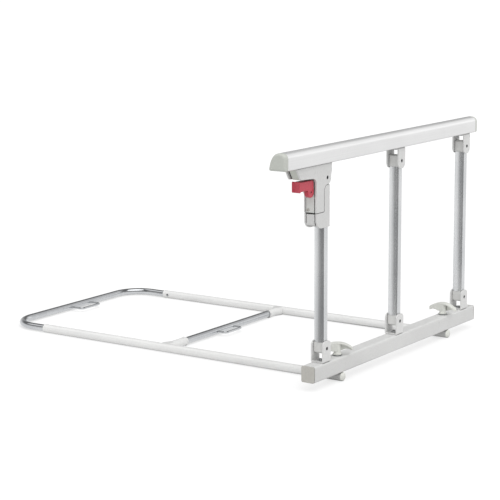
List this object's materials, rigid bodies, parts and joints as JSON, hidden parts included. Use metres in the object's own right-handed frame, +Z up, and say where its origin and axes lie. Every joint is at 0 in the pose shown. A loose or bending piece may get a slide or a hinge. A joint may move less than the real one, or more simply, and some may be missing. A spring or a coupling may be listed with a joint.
{
  "type": "folding bed guard rail",
  "caption": "Folding bed guard rail with a loaf-shaped handrail on folding posts, a red release lever and an under-mattress tube frame.",
  "frame": {"origin": "middle of the underside of the whole rail's box, on the surface it lies on", "axes": "+X along the rail towards its far end, +Y under the bed, -Y towards the room, +Z up"},
  "size_m": [0.811, 0.9394, 0.496],
  "materials": {
    "bar_steel": "light grey powder coat, satin",
    "post_aluminium": "anodised, satin",
    "handrail_paint": "near white powder coat on aluminium, satin",
    "latch_housing": "light grey powder coat, satin",
    "grey_plastic": "moulded, matte",
    "green_grey_plastic": "moulded, fine grain",
    "red_plastic": "moulded, half gloss",
    "white_plastic": "moulded, warm white",
    "white_paint": "white powder coat on steel tube",
    "chrome": "polished chrome plate",
    "pin_steel": "blackened",
    "steel": "zinc plated"
  },
  "bodies": {
    "base": {"bottom_bar": "bar_steel", "bar_cap_near": "grey_plastic", "bar_cap_far": "grey_plastic", "bottom_bracket_1": "bar_steel", "bottom_bracket_2": "bar_steel", "bottom_bracket_3": "bar_steel", "bottom_pin_1": "pin_steel", "bottom_pin_2": "pin_steel", "bottom_pin_3": "pin_steel", "bracket_screw_1": "steel", "bracket_screw_2": "steel", "bracket_screw_3": "steel", "side_tube_near": "white_paint", "side_tube_far": "white_paint", "tube_plug_near": "white_plastic", "tube_plug_far": "white_plastic", "u_tube": "chrome", "cross_tube": "chrome", "strap_loop_rear": "chrome", "strap_loop_middle": "chrome", "clamp_bolt_near": "steel", "clamp_bolt_far": "steel", "knob_washer_near": "steel", "knob_washer_far": "steel", "snap_clip_near": "steel", "snap_clip_far": "steel"},
    "post_1": {"post_1": "post_aluminium", "post_foot_1": "grey_plastic", "latch_sleeve": "latch_housing", "sleeve_screw": "steel"},
    "post_2": {"post_2": "post_aluminium", "post_foot_2": "grey_plastic", "post_head_2": "grey_plastic"},
    "post_3": {"post_3": "post_aluminium", "post_foot_3": "grey_plastic", "post_head_3": "grey_plastic"},
    "handrail": {"handrail": "handrail_paint", "handrail_cap_near": "green_grey_plastic", "handrail_cap_far": "green_grey_plastic", "top_bracket_2": "bar_steel", "top_bracket_3": "bar_steel", "top_pin_2": "pin_steel", "top_pin_3": "pin_steel", "top_bracket_screw_2": "steel", "top_bracket_screw_3": "steel", "housing_screw_1": "steel", "housing_screw_2": "steel", "latch_plate_front": "latch_housing", "latch_plate_back": "latch_housing", "latch_core": "green_grey_plastic", "leg_screw": "steel", "latch_pivot_pin": "pin_steel", "bolt_spring": "steel", "lever_pin": "steel"},
    "release_lever": {"release_lever": "red_plastic"},
    "latch_bolt": {"latch_bolt": "steel"},
    "knob_near": {"wing_knob_near": "white_plastic"},
    "knob_far": {"wing_knob_far": "white_plastic"},
    "button_near": {"snap_button_near": "pin_steel"},
    "button_far": {"snap_button_far": "pin_steel"}
  },
  "joints": [
    {"name": "fold", "type": "hinge", "parent": "base", "child": "post_1", "pos_m": [-0.2445, -0.43675, 0.082], "axis": [0, -1, 0], "range_deg": [0, 82]},
    {"name": "fold_post_2", "type": "hinge", "parent": "base", "child": "post_2", "pos_m": [0.0555, -0.43675, 0.082], "axis": [0, -1, 0], "range_deg": [0, 82]},
    {"name": "fold_post_3", "type": "hinge", "parent": "base", "child": "post_3", "pos_m": [0.3555, -0.43675, 0.082], "axis": [0, -1, 0], "range_deg": [0, 82]},
    {"name": "handrail_level", "type": "hinge", "parent": "post_1", "child": "handrail", "pos_m": [-0.2445, -0.43675, 0.432], "axis": [0, -1, 0], "range_deg": [-82, 0]},
    {"name": "release_lever_turn", "type": "hinge", "parent": "handrail", "child": "release_lever", "pos_m": [-0.2968, -0.43675, 0.408], "axis": [0, -1, 0], "range_deg": [0, 15]},
    {"name": "latch_bolt_slide", "type": "slide", "parent": "handrail", "child": "latch_bolt", "axis": [0, 0, 1], "range_m": [0, 0.0063], "stiffness_N_per_m": 300, "springref_m": -0.01, "deforming": ["bolt_spring"]},
    {"name": "knob_near_turn", "type": "hinge", "parent": "base", "child": "knob_near", "pos_m": [-0.1805, -0.43675, 0.06], "axis": [0, 0, 1], "continuous": true},
    {"name": "knob_far_turn", "type": "hinge", "parent": "base", "child": "knob_far", "pos_m": [0.2795, -0.43675, 0.06], "axis": [0, 0, 1], "continuous": true},
    {"name": "button_near_press", "type": "slide", "parent": "base", "child": "button_near", "axis": [-1, 0, 0], "range_m": [0, 0.003], "stiffness_N_per_m": 800, "springref_m": -0.002},
    {"name": "button_far_press", "type": "slide", "parent": "base", "child": "button_far", "axis": [1, 0, 0], "range_m": [0, 0.003], "stiffness_N_per_m": 800, "springref_m": -0.002}
  ],
  "couplings": [
    {"joint": "fold_post_2", "follows": "fold", "ratio": 1},
    {"joint": "fold_post_3", "follows": "fold", "ratio": 1},
    {"joint": "handrail_level", "follows": "fold", "ratio": -1},
    {"joint": "release_lever_turn", "follows": "latch_bolt_slide", "rad_per_m": 41.5}
  ]
}
